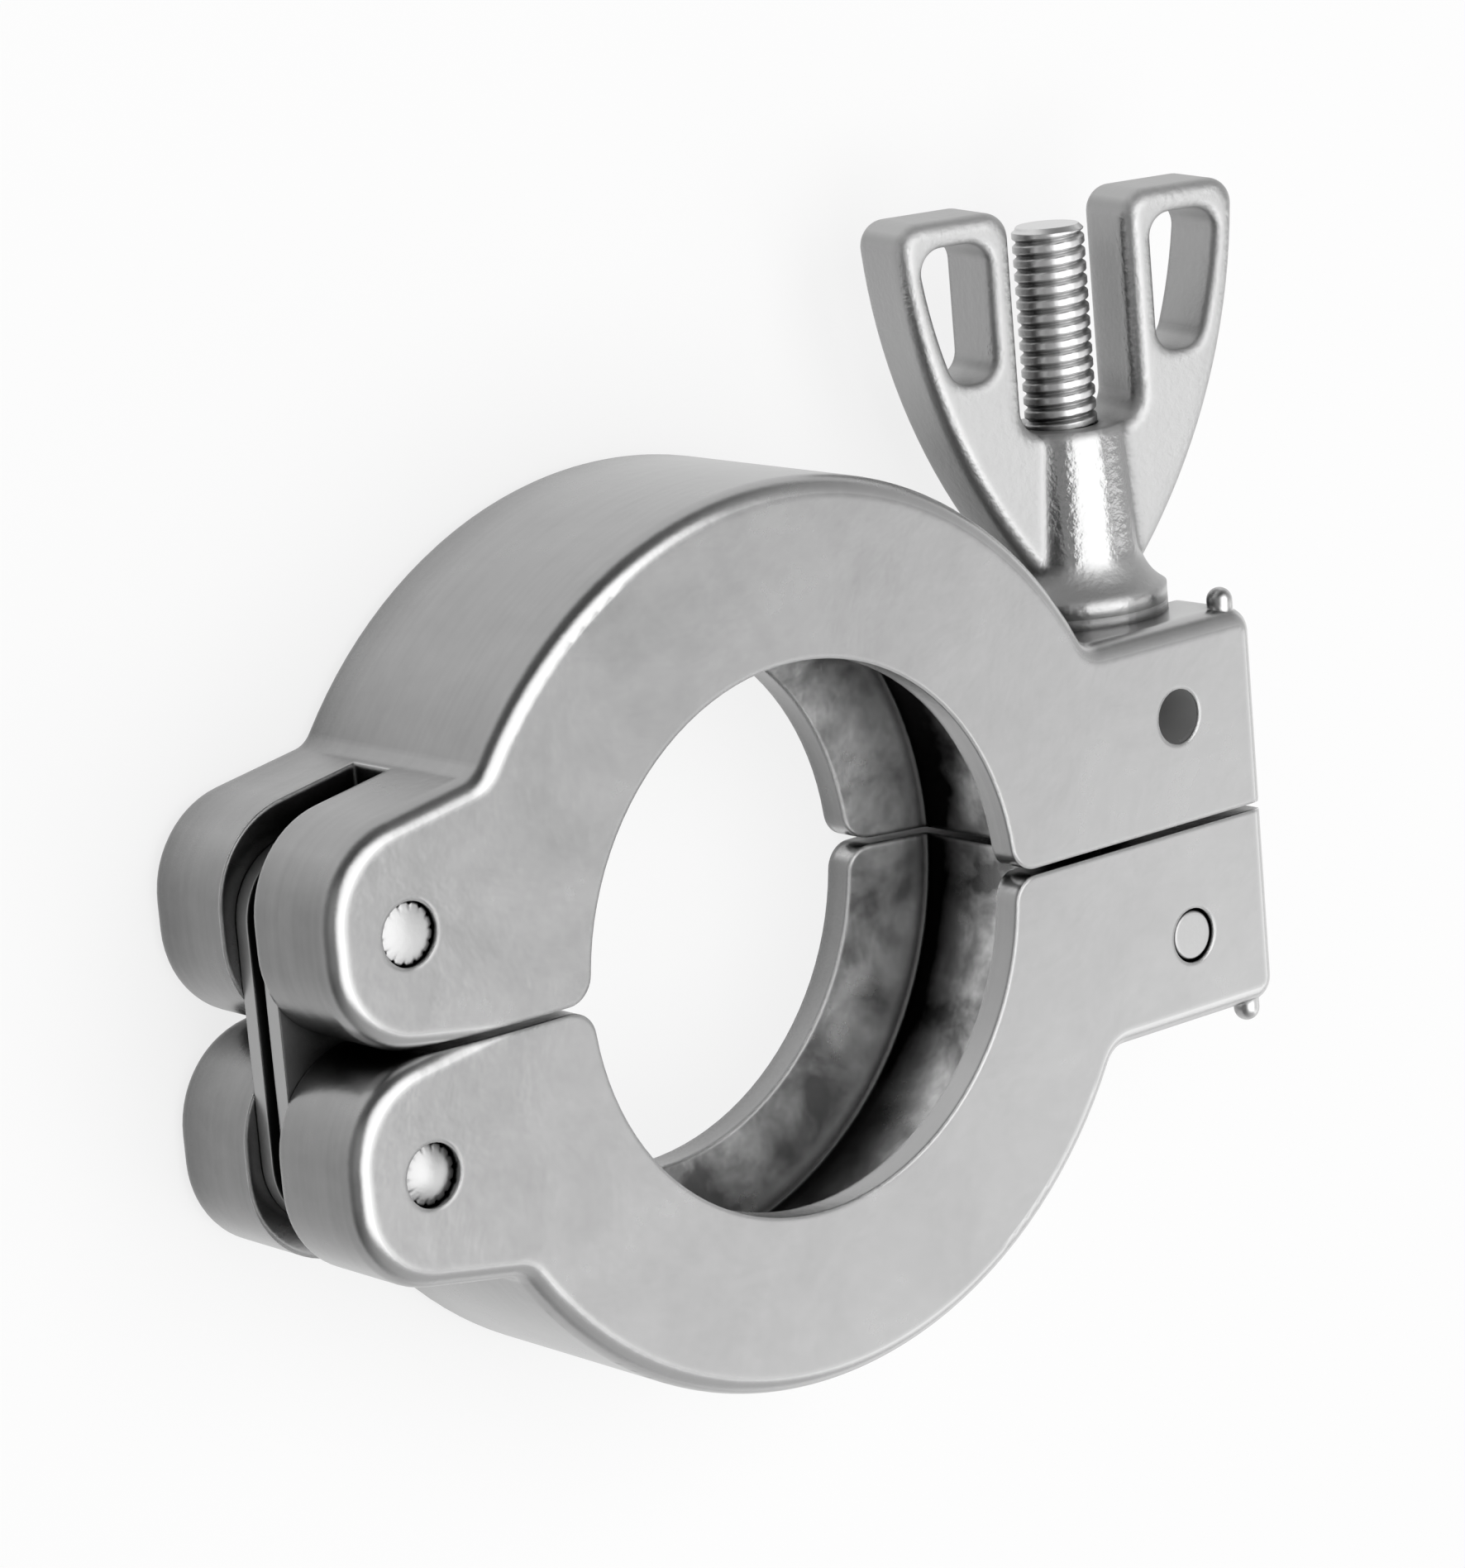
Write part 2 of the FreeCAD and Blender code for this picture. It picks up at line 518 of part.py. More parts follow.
def wing_outline(body):
    """One wing from the bolt's axis outwards, with its window."""
    sketch = sketch_on(body, "XY_Plane", "wing_outline")
    bow, corner = size("wing_bow_radius"), size("wing_corner_radius")
    foot = Vector(size("wing_foot_x"), size("wing_foot_height"), 0)
    top, slot = size("nut_height"), size("wing_slot_width") / 2
    bottom, reach = size("hub_height"), size("wing_reach")
    head = Vector(reach, top - corner, 0)
    chord = head - foot
    middle = (head + foot) / 2
    inward = Vector(-chord.y, chord.x, 0) / chord.Length
    centre = middle + inward * math.sqrt(bow ** 2 - chord.Length ** 2 / 4)
    axis = Vector(0, 0, 1)
    inner_bow = size("window_bow_radius")
    inner_centre = Vector(reach - size("wing_rim") - inner_bow, centre.y, 0)
    low, high, inner = size("window_foot"), size("window_top"), size("window_inner_x")
    low_out, high_out = bow_point(inner_centre, inner_bow, low), bow_point(inner_centre, inner_bow, high)

    def angle(point, about):
        return math.atan2(point.y - about.y, point.x - about.x)

    sketch.addGeometry([
        Part.LineSegment(Vector(0, foot.y, 0), foot),
        Part.ArcOfCircle(Part.Circle(centre, axis, bow), angle(foot, centre), angle(head, centre)),
        Part.ArcOfCircle(Part.Circle(Vector(reach - corner, top - corner, 0), axis, corner),
                         0, math.pi / 2),
        Part.LineSegment(Vector(reach - corner, top, 0), Vector(slot, top, 0)),
        Part.LineSegment(Vector(slot, top, 0), Vector(slot, bottom + corner, 0)),
        Part.ArcOfCircle(Part.Circle(Vector(slot - corner, bottom + corner, 0), axis, corner),
                         -math.pi / 2, 0),
        Part.LineSegment(Vector(slot - corner, bottom, 0), Vector(0, bottom, 0)),
        Part.LineSegment(Vector(0, bottom, 0), Vector(0, foot.y, 0)),
        Part.LineSegment(Vector(inner, low, 0), low_out),
        Part.ArcOfCircle(Part.Circle(inner_centre, axis, inner_bow),
                         angle(low_out, inner_centre), angle(high_out, inner_centre)),
        Part.LineSegment(high_out, Vector(inner, high, 0)),
        Part.LineSegment(Vector(inner, high, 0), Vector(inner, low, 0)),
    ])
    sketch.addConstraint([
        Sketcher.Constraint("PointOnObject", 0, 1, -2),
        Sketcher.Constraint("Horizontal", 0),
        Sketcher.Constraint("Coincident", 0, 2, 1, 1),
        Sketcher.Constraint("Tangent", 1, 2, 2, 1),
        Sketcher.Constraint("Tangent", 2, 2, 3, 1),
        Sketcher.Constraint("Horizontal", 3),
        Sketcher.Constraint("Coincident", 3, 2, 4, 1),
        Sketcher.Constraint("Vertical", 4),
        Sketcher.Constraint("Tangent", 4, 2, 5, 2),
        Sketcher.Constraint("Tangent", 5, 1, 6, 1),
        Sketcher.Constraint("Horizontal", 6),
        Sketcher.Constraint("Coincident", 6, 2, 7, 1),
        Sketcher.Constraint("Vertical", 7),
        Sketcher.Constraint("Coincident", 7, 2, 0, 1),
        Sketcher.Constraint("Equal", 2, 5),
        Sketcher.Constraint("Coincident", 8, 2, 9, 1),
        Sketcher.Constraint("Coincident", 9, 2, 10, 1),
        Sketcher.Constraint("Coincident", 10, 2, 11, 1),
        Sketcher.Constraint("Coincident", 11, 2, 8, 1),
        Sketcher.Constraint("Horizontal", 8),
        Sketcher.Constraint("Horizontal", 10),
        Sketcher.Constraint("Vertical", 11),
        Sketcher.Constraint("Horizontal", 9, 3, 1, 3),
    ])
    name_sizes(sketch, [
        (("DistanceX", 0, 1, 0, 2), "foot_x", foot.x, "dims.wing_foot_x"),
        (("DistanceY", -1, 1, 0, 2), "foot_y", foot.y, "dims.wing_foot_height"),
        (("Radius", 1), "bow", bow, "dims.wing_bow_radius"),
        (("Radius", 2), "corner", corner, "dims.wing_corner_radius"),
        (("DistanceX", -1, 1, 1, 2), "reach", reach, "dims.wing_reach"),
        (("DistanceY", -1, 1, 3, 1), "top", top, "dims.nut_height"),
        (("DistanceX", -1, 1, 4, 2), "slot", slot, "dims.wing_slot_width / 2"),
        (("DistanceY", -1, 1, 6, 2), "slot_foot", bottom, "dims.hub_height"),
        (("Radius", 9), "window_bow", inner_bow, "dims.window_bow_radius"),
        (("DistanceX", 9, 3, -1, 1), "window_bow_centre", -inner_centre.x,
         "dims.window_bow_radius + dims.wing_rim - dims.wing_reach"),
        (("DistanceX", -1, 1, 11, 1), "window_side", inner, "dims.window_inner_x"),
        (("DistanceY", -1, 1, 11, 2), "window_low", low, "dims.window_foot"),
        (("DistanceY", -1, 1, 11, 1), "window_high", high, "dims.window_top"),
    ])
    width = sketch.addConstraint(Sketcher.Constraint("DistanceX", 8, 1, 8, 2, low_out.x - inner))
    sketch.setDriving(width, False)
    sketch.renameConstraint(width, "window_foot_width")
    return sketch


def face_arcs(shape, radius):
    """Names of the arcs of one radius on the wing's front and back faces."""
    names = []
    for number, edge in enumerate(shape.Edges, start=1):
        flat = edge.BoundBox.ZLength < 1e-6
        if flat and edge.Curve.TypeId == "Part::GeomCircle" and abs(edge.Curve.Radius - radius) < 1e-4:
            names.append(f"Edge{number}")
    return names


def build_wing():
    body = doc.addObject("PartDesign::Body", "nut_wing")
    pad = body.newObject("PartDesign::Pad", "wing_thickness")
    pad.Profile = wing_outline(body)
    pad.Midplane = True
    bind(pad, Length="dims.wing_thickness")
    body.Tip = pad
    doc.recompute()
    slot_corner = (size("wing_slot_width") / 2, size("nut_height"))
    fillet(body, "slot_mouth", "dims.wing_corner_radius", upright_edges(body.Shape, [slot_corner]))
    low, high, inner = size("window_foot"), size("window_top"), size("window_inner_x")
    outer = size("wing_reach") - size("wing_rim")
    corners = [(inner, low), (inner, high), (outer, high), (outer - size("wing_rim"), low)]
    fillet(body, "window_corners", WINDOW_CORNER, upright_edges(body.Shape, corners))
    fillet(body, "window_edges", "dims.window_rounding", face_arcs(body.Shape, size("window_bow_radius")))
    fillet(body, "wing_edges", "dims.wing_rounding", face_arcs(body.Shape, size("wing_bow_radius")))
    return body


def build_nut():
    wing = build_wing()
    other = doc.addObject("Part::Mirroring", "nut_other_wing")
    other.Source = wing
    other.Normal = Vector(1, 0, 0)
    solid = fuse("nut_solid", [nut_turning(), wing, other])
    bore = doc.addObject("Part::Cylinder", "nut_bore")
    bind(bore, Radius="dims.bolt_radius + dims.thread_clearance", Height="dims.nut_height")
    bore.Placement.Rotation = Rotation(Vector(1, 0, 0), -90)
    nut = cut("wing_nut", solid, bore)
    nut.Placement.Rotation = Rotation(Vector(0, -1, 0), 1)
    nut.setExpression("Placement.Rotation.Angle", "dims.wing_turn * 1 deg")
    return place(nut, "dims.bolt_x", NUT_FOOT)


def build_nodes():
    nodes = build_jaws()
    nodes.append(build_plate("link_plate_front", 1))
    nodes.append(build_plate("link_plate_back", -1))
    nodes.append(build_pin("lower_hinge_pin", "hinge_pin_radius", f"-{HINGE_X}", "-dims.hinge_pin_y"))
    nodes.append(build_pin("upper_hinge_pin", "hinge_pin_radius", f"-{HINGE_X}", "dims.hinge_pin_y"))
    nodes.append(build_pin("bolt_pin", "bolt_pin_radius", "dims.bolt_x", "-dims.bolt_pin_y"))
    nodes.append(build_bolt())
    nodes.append(build_washer())
    nodes.append(build_nut())
    return nodes


def export_nodes(nodes):
    doc.recompute()
    for obj in doc.Objects:
        if "Invalid" in obj.State or "Error" in obj.State:
            raise RuntimeError(f"{obj.Name} did not rebuild")
    os.makedirs("parts", exist_ok=True)
    for node in nodes:
        shape = node.Shape
        if shape.isNull() or not shape.isValid() or len(shape.Solids) != 1:
            raise RuntimeError(f"{node.Label} is not one valid solid")
        shape.exportStep(f"parts/{node.Label}.step")
        box_size = shape.BoundBox
        print(f"{node.Label}: {shape.Volume:.1f} mm3, "
              f"{box_size.XLength:.2f} x {box_size.YLength:.2f} x {box_size.ZLength:.2f} mm")


export_nodes(build_nodes())
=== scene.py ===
import math

import bpy
import numpy as np
from bpy.props import FloatProperty, FloatVectorProperty, IntProperty, PointerProperty
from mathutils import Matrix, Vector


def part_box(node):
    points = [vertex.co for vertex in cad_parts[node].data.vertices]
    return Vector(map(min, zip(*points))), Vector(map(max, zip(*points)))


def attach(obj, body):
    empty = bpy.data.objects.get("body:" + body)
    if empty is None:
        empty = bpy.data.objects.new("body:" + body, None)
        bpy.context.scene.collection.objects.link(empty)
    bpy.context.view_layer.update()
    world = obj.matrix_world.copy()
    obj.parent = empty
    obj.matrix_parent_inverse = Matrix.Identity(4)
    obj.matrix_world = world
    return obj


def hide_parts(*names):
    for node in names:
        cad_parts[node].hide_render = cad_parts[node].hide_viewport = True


bl_info = {
    "name": "Vacuum flange clamp",
    "version": (1, 0, 0),
    "blender": (4, 5, 0),
    "location": "3D View > Sidebar > Clamp",
    "description": "Threads, pins, finishes and studio for a hinged flange clamp",
    "category": "Object",
}

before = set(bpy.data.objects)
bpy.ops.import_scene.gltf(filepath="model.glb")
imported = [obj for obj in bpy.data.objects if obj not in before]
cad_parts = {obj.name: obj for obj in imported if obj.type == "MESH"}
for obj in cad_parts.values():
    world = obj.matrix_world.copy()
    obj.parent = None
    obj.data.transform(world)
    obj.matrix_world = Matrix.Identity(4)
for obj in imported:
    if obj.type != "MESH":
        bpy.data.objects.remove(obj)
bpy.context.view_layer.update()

MM = 0.001
TAU = 2 * math.pi
UP = (0.0, 0.0, 1.0)
ALONG_BOLT = (0.0, 1.0, 0.0)

# Rows and columns of the new surfaces, and the angle past which an edge stays sharp
SHARP_ANGLE = math.radians(35)
TURN_COLUMNS = 96
ROUND_ROWS = 5
PLAIN_ROWS = 12
ROWS_PER_TURN = 14
DOME_ROWS = 9
BODY_ROWS = 24
COLUMNS_PER_GRIP = 10

# Form of the thread: half the root's width as a share of the pitch, and the power that narrows it
ROOT_SHARE = 0.28
ROOT_POWER = 1.4

# Form of the pins: steepness of the grip grooves, and the rest as shares of the radius
GRIP_STEEPNESS = 1.8
DOME_START = 0.02
GRIP_START = 0.76
GRIP_FADE = 0.18


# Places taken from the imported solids
def span(node):
    """Lowest and highest corner of a CAD node as arrays."""
    low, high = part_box(node)
    return np.array(low), np.array(high)


def middle(node):
    """Middle of a CAD node's box."""
    low, high = span(node)
    return (low + high) / 2


# Surfaces
def add_mesh(name, points, faces):
    """A mesh object at the origin from arrays of points and faces, smooth but for its sharp edges."""
    mesh = bpy.data.meshes.new(name)
    mesh.from_pydata(points.tolist(), [], [face.tolist() for face in faces])
    mesh.validate()
    mesh.update()
    mesh.polygons.foreach_set("use_smooth", np.ones(len(mesh.polygons), bool))
    mesh.set_sharp_from_angle(angle=SHARP_ANGLE)
    piece = bpy.data.objects.new(name, mesh)
    bpy.context.scene.collection.objects.link(piece)
    return piece


def grid_quads(rows, columns, closed):
    """Quads of a grid that closes on itself along its columns, and along its rows too if closed."""
    strips = rows if closed else rows - 1
    row, column = np.meshgrid(np.arange(strips), np.arange(columns), indexing="ij")
    this_row = row * columns
    next_row = (row + 1) % rows * columns
    beside = (column + 1) % columns
    corners = (this_row + column, this_row + beside, next_row + beside, next_row + column)
    return np.stack(corners, axis=-1).reshape(-1, 4)


def tube_faces(rows, columns):
    """Quads of a tube, with an end face each side."""
    first = np.arange(columns)[::-1]
    last = np.arange(columns) + (rows - 1) * columns
    return [*grid_quads(rows, columns, closed=False), first, last]


def turned(radius, height, columns, cut=None):
    """
    A surface turned about its own axis.

    radius and height are the profile's arrays. The point at angle a on row i is
    (r cos a, r sin a, height i), where r is radius i, less what cut(angle, height) takes off it.
    """
    angle = np.linspace(0, TAU, columns, endpoint=False)[None, :]
    rows = height[:, None]
    reach = radius[:, None] + np.zeros_like(angle)
    if cut is not None:
        reach = reach - cut(angle, rows)
    rows = rows + np.zeros_like(angle)
    return np.stack((reach * np.cos(angle), reach * np.sin(angle), rows), axis=-1)


def along_y(points):
    """Turns points made along Z so that they run along Y, with their faces still outwards."""
    return points[..., [1, 2, 0]]


# Threaded eye bolt
def thread_cut(angle, height, pitch, depth, low):
    """
    How far a single-start right-hand thread cuts in at one angle and height.

    The phase is height / pitch less angle / one turn. Over one phase the cut is 0 on the broad
    worn crest, and falls and rises as rounded flanks to a narrow root. It fades in over the first
    turn above low.
    """
    phase = np.mod(height / pitch - angle / TAU, 1.0)
    flank = np.clip(np.abs(phase - 0.5) / ROOT_SHARE, 0.0, 1.0)
    cut = np.cos(flank * math.pi / 2) ** ROOT_POWER
    return depth * cut * np.clip((height - low) / pitch, 0.0, 1.0)


def bolt_shank(sizes):
    """
    The bolt's shank as one turned surface along Y, with its thread and a chamfered tip.

    The profile is the outer radius, pulled in at the tip by a cone. The thread takes thread_cut
    off it wherever the cone leaves room. The shank starts half way through the wall of the eye.
    The second array is 0 on the profile and 1 in the thread's root.
    """
    tip = span("swing_bolt")[1][1]
    axis = middle("swing_bolt")
    radius, depth, pitch = sizes.bolt_radius, sizes.thread_depth, sizes.thread_pitch
    foot = middle("bolt_pin")[1] + (sizes.eye_bore + sizes.eye_radius) / 2
    thread_foot = tip - sizes.thread_length
    plain = np.linspace(foot, thread_foot, PLAIN_ROWS, endpoint=False)
    threaded = np.arange(thread_foot, tip, pitch / ROWS_PER_TURN)
    height = np.concatenate((plain, threaded, [tip]))
    chamfer = np.clip((tip - height) / sizes.tip_chamfer, 0.0, 1.0)
    profile = radius - sizes.tip_chamfer * (1.0 - chamfer)

    def cut(angle, rows):
        spare = np.clip((profile[:, None] - (radius - depth)) / depth, 0.0, 1.0)
        return thread_cut(angle, rows, pitch, depth, thread_foot) * spare

    points = along_y(turned(profile, height, TURN_COLUMNS, cut)) + np.array([axis[0], 0.0, axis[2]])
    away = np.hypot(points[..., 0] - axis[0], points[..., 2] - axis[2])
    in_root = np.clip((profile[:, None] - away) / depth, 0.0, 1.0)
    return points, in_root


def turned_ring(inner, outer, half, edge):
    """
    Points and quads of a ring about Z, closed both ways round.

    Its profile is a rectangle from inner to outer, with both flat faces at plus and minus half, and
    all four corners are quarter circles of radius edge.
    """
    turn = np.linspace(0, math.pi / 2, ROUND_ROWS)
    centres = ((outer - edge, half - edge, 0.0), (inner + edge, half - edge, math.pi / 2),
               (inner + edge, edge - half, math.pi), (outer - edge, edge - half, 1.5 * math.pi))
    radii = np.concatenate([x + edge * np.cos(turn + start) for x, _, start in centres])
    heights = np.concatenate([z + edge * np.sin(turn + start) for _, z, start in centres])
    points = turned(radii, heights, TURN_COLUMNS)
    return points.reshape(-1, 3), grid_quads(len(radii), TURN_COLUMNS, closed=True)


def make_bolt(sizes):
    """The shank and its eye in one mesh."""
    shank, in_root = bolt_shank(sizes)
    rows, columns = in_root.shape
    axis = middle("swing_bolt")
    pin = middle("bolt_pin")
    half = span("swing_bolt")[1][2]
    eye_points, eye_faces = turned_ring(sizes.eye_bore, sizes.eye_radius, half, sizes.eye_edge)
    eye_points = eye_points + np.array([axis[0], pin[1], 0.0])
    points = np.concatenate((shank.reshape(-1, 3), eye_points))
    faces = [*tube_faces(rows, columns), *(eye_faces + rows * columns)]
    piece = add_mesh("threaded_bolt", points, faces)
    # Painted shade: how deep in the thread's root each point lies
    root_shade_attribute = piece.data.attributes.new("root_shade_share", "FLOAT", "POINT")
    root_shade_attribute.data.foreach_set("value", np.concatenate((in_root.ravel(), np.zeros(len(eye_points)))))
    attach(piece, "swing_bolt")
    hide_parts("swing_bolt")
    return piece


# Pins
def pin_profile(radius, half, dome, edge):
    """
    Radii and heights of a pin from its back end to its front end.

    Each end is a shallow dome inside the edge round. Its height is dome at the axis, less dome
    times the square of the share of the radius.
    """
    share = np.linspace(DOME_START, 1.0, DOME_ROWS)
    rise = dome * (1.0 - share ** 2)
    turn = np.linspace(0, math.pi / 2, ROUND_ROWS)[1:]
    shoulder = half - dome - edge
    top_r = np.concatenate(((radius - edge) * share, radius - edge + edge * np.sin(turn)))
    top_h = np.concatenate((half - dome + rise, shoulder + edge * np.cos(turn)))
    body_h = np.linspace(-shoulder, shoulder, BODY_ROWS)[1:-1]
    radii = np.concatenate((top_r, np.full(body_h.size, radius), top_r[::-1]))
    heights = np.concatenate((-top_h, body_h, top_h[::-1]))
    return radii, heights


def make_pin(name, node, body, dome, gap, notch, sizes):
    """
    A pin in place of its CAD node, thinner by gap, with grip grooves near each end.

    The grooves take up to notch off the radius. Round the pin they follow the cosine of the angle
    times their number, made steeper and cut off at 0 and 1.
    """
    low, high = span(node)
    half = (high[2] - low[2]) / 2
    radius = (high[0] - low[0]) / 2 - gap
    radii, heights = pin_profile(radius, half, dome, sizes.pin_edge)

    def grip(angle, rows):
        near_end = np.clip((np.abs(rows) - (half - sizes.grip_length)) / sizes.pin_edge, 0.0, 1.0)
        wave = 1.0 + GRIP_STEEPNESS * (np.cos(sizes.grip_count * angle) - 1.0)
        rim = np.clip((radii[:, None] / radius - GRIP_START) / GRIP_FADE, 0.0, 1.0)
        return notch * np.clip(wave, 0.0, 1.0) * near_end * rim

    points = turned(radii, heights, sizes.grip_count * COLUMNS_PER_GRIP, grip)
    rows, columns = points.shape[:2]
    piece = add_mesh(name, points.reshape(-1, 3) + middle(node), tube_faces(rows, columns))
    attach(piece, body)
    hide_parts(node)
    return piece


# Where the stain and the painted shade of the jaws' groove lie, and how strong they are
BORE_AXIS = (0.0, 0.0, 0.0)
HALF_WIDTH = span("lower_jaw")[1][2]
GROOVE_REACH = 20.3 * MM
BORE_REACH = 15.4 * MM
FLANK_FOOT = -4.95 * MM
# Painted shade on the groove's bottom, darker towards the back face, between these heights
BACK_SHADE_LOW = -4.2 * MM
BACK_SHADE_HIGH = 1.0 * MM
BACK_SHADE_DEPTH = 2.0
# A lighter strip where the back flank meets the bottom
FLANK_STRIP_LIFT = 1.2
STAIN_FADE = 0.2 * MM
CLOUD_SCALE = 230.0
CLOUD_RANGE = (0.38, 0.64, -0.9, 1.9)

# The blasted metal's mottling, and the ranges in which its masks rise, for painted shade and painted
# highlights among them
PATCH_SCALE = 4.3
PATCH_SHARE = 0.35
STREAK_STRETCH = (60.0, 60.0, 2200.0)
ROUGHNESS_SPREAD = 0.12
# The way of the faces that take painted shade, and the range over which it rises
OUTWARD = (-1.0, 0.0, 0.0)
OUTWARD_RANGE = (0.7, 1.0)
RIM_START = 6.5 * MM
LEANING_RANGE = (0.6, 0.8)
LEVEL_RANGE = (0.997, 0.975)
EDGE_RANGE = (0.985, 0.8)
# Painted shade in crevices: the colour falls to 0.04 of itself as the occlusion falls from 0.6 to 0.2
CREVICE_SHADE_RANGE = (0.2, 0.6, 0.04, 1.0)

# The wing nut: the way its wings face, and the ranges in which its matte places rise
WING_TURN = math.radians(12)
WING_FACE = (-math.sin(WING_TURN), 0.0, math.cos(WING_TURN))
WING_RANGE = (3.1 * MM, 2.8 * MM)
FACING_RANGE = (0.97, 0.996)
FOOT_RANGE = (0.15, 0.4)
NUT_GLOSS = 0.2

# The painted shade in the thread's root
ROOT_SHADE_RANGE = (0.3, 1.0, 0.0, 0.4)
ROOT_SHADE_COLOUR = (0.02, 0.02, 0.02, 1.0)

# Inputs of the blasted metal with their kinds and defaults
FINISH_INPUTS = (
    ("Tone", "NodeSocketColor", (0.6, 0.6, 0.6, 1.0)),
    ("Roughness", "NodeSocketFloat", 0.4),
    ("Mottle", "NodeSocketFloat", 0.1),
    ("Mottle Scale", "NodeSocketFloat", 160.0),
    ("Streaks", "NodeSocketFloat", 0.05),
    ("Grain Scale", "NodeSocketFloat", 3000.0),
    ("Grain Height", "NodeSocketFloat", 0.01 * MM),
    ("Wave Height", "NodeSocketFloat", 0.03 * MM),
    ("Edge Radius", "NodeSocketFloat", 0.2 * MM),
    # Painted highlight on rounded edges
    ("Edge Highlight", "NodeSocketFloat", 0.4),
    ("Edge Gloss", "NodeSocketFloat", 0.12),
    # How far the painted shade in crevices looks for nearby surfaces
    ("Crevice Shade Reach", "NodeSocketFloat", 3.0 * MM),
    # Painted light and shade: the colour rises and falls steadily along a direction
    ("Painted Light Slope", "NodeSocketVector", (0.0, 0.0, 0.0)),
    # Painted shade on faces turned outwards; below 0 it paints light there instead
    ("Side Shade", "NodeSocketFloat", 0.0),
    # Random stain and painted shade in the jaws' groove
    ("Stain And Shade", "NodeSocketFloat", 0.0),
    # Painted highlight on the rounded edges beside both faces
    ("Rim Highlight", "NodeSocketFloat", 0.0),
)
FINISH_OUTPUTS = (
    ("Color", "NodeSocketColor"),
    ("Roughness", "NodeSocketFloat"),
    ("Normal", "NodeSocketVector"),
    ("Rounded", "NodeSocketVector"),
)

# Values of those inputs for each finish
JAW_FINISH = {
    "Roughness": 0.26,
    "Mottle": 0.15,
    "Streaks": 0.1,
    "Grain Scale": 1300.0,
    "Grain Height": 0.007 * MM,
    "Wave Height": 0.05 * MM,
    "Edge Radius": 0.4 * MM,
    # Painted highlight on rounded edges
    "Edge Highlight": 0.7,
    # Painted shade in the groove, the slots and the gap between the knuckles
    "Crevice Shade Reach": 10.0 * MM,
    # Painted light and shade: lighter towards the lugs and downwards, darker towards the knuckles and
    # upwards
    "Painted Light Slope": (4.5, -1.5, 0.0),
    # Painted shade on the knuckles' outer sides
    "Side Shade": 0.32,
    # Random stain and painted shade in the groove
    "Stain And Shade": 0.5,
    # Painted highlight on the rounded rims
    "Rim Highlight": 0.45,
}
NUT_FINISH = {
    "Roughness": 0.55,
    "Mottle": 0.05,
    "Grain Scale": 2200.0,
    "Grain Height": 0.04 * MM,
    "Edge Radius": 1.0 * MM,
    "Edge Highlight": 0.0,
    "Edge Gloss": 0.0,
    # Painted shade on the wings' outer sides
    "Side Shade": 0.4,
}
# The link plates: a painted highlight on their faces turned outwards
LINK_FINISH = {"Roughness": 0.35, "Crevice Shade Reach": 8.0 * MM, "Side Shade": -1.2}
LINK_METALLIC = 0.8
THREAD_FINISH = {"Roughness": 0.36, "Edge Radius": 0.05 * MM}
PIN_FINISH = {"Roughness": 0.38, "Edge Radius": 0.05 * MM}


# Shader helpers
class Nodes:
    """A short way to add nodes to one tree and join them. Its sums take sockets or plain values."""

    def __init__(self, tree):
        self.tree = tree

    def add(self, kind, **settings):
        node = self.tree.nodes.new(kind)
        for name, value in settings.items():
            setattr(node, name, value)
        return node

    def join(self, source, target):
        self.tree.links.new(source, target)

    def feed(self, target, value):
        """Joins a socket to the target, or writes a plain value on it."""
        if isinstance(value, bpy.types.NodeSocket):
            self.join(value, target)
        else:
            target.default_value = value

    def math(self, operation, first, second=0.0, clamp=False):
        node = self.add("ShaderNodeMath", operation=operation, use_clamp=clamp)
        self.feed(node.inputs[0], first)
        self.feed(node.inputs[1], second)
        return node.outputs[0]

    def plus(self, first, second):
        return self.math("ADD", first, second)

    def minus(self, first, second):
        return self.math("SUBTRACT", first, second)

    def times(self, first, second):
        return self.math("MULTIPLY", first, second)

    def size(self, value):
        return self.math("ABSOLUTE", value)

    def vector(self, operation, first, second, output):
        node = self.add("ShaderNodeVectorMath", operation=operation)
        self.feed(node.inputs[0], first)
        self.feed(node.inputs[1], second)
        return node.outputs[output]

    def dot(self, first, second):
        return self.vector("DOT_PRODUCT", first, second, "Value")

    def from_axis(self, place, centre):
        """Distance of a place from an upright axis through the centre."""
        flat = self.vector("MULTIPLY", place, (1.0, 1.0, 0.0), "Vector")
        return self.vector("DISTANCE", flat, centre, "Value")

    def noise(self, place, scale, detail, roughness=0.5, distortion=0.0):
        node = self.add("ShaderNodeTexNoise")
        values = {"Vector": place, "Scale": scale, "Detail": detail, "Roughness": roughness,
                  "Distortion": distortion}
        for name, value in values.items():
            self.feed(node.inputs[name], value)
        return node.outputs["Fac"]

    def remap(self, value, low, high, to_low=0.0, to_high=1.0):
        """Takes low to to_low and high to to_high, and keeps what lies beyond at those ends."""
        node = self.add("ShaderNodeMapRange", clamp=True)
        values = {"Value": value, "From Min": low, "From Max": high, "To Min": to_low, "To Max": to_high}
        for name, number in values.items():
            self.feed(node.inputs[name], number)
        return node.outputs["Result"]

    def mix(self, factor, first, second):
        node = self.add("ShaderNodeMix", data_type="RGBA")
        self.feed(node.inputs[0], factor)
        self.feed(node.inputs[6], first)
        self.feed(node.inputs[7], second)
        return node.outputs[2]


def principled(material):
    """The material's own shader."""
    return material.node_tree.nodes["Principled BSDF"]


def source_of(target):
    """The socket that feeds this one."""
    return target.links[0].from_socket


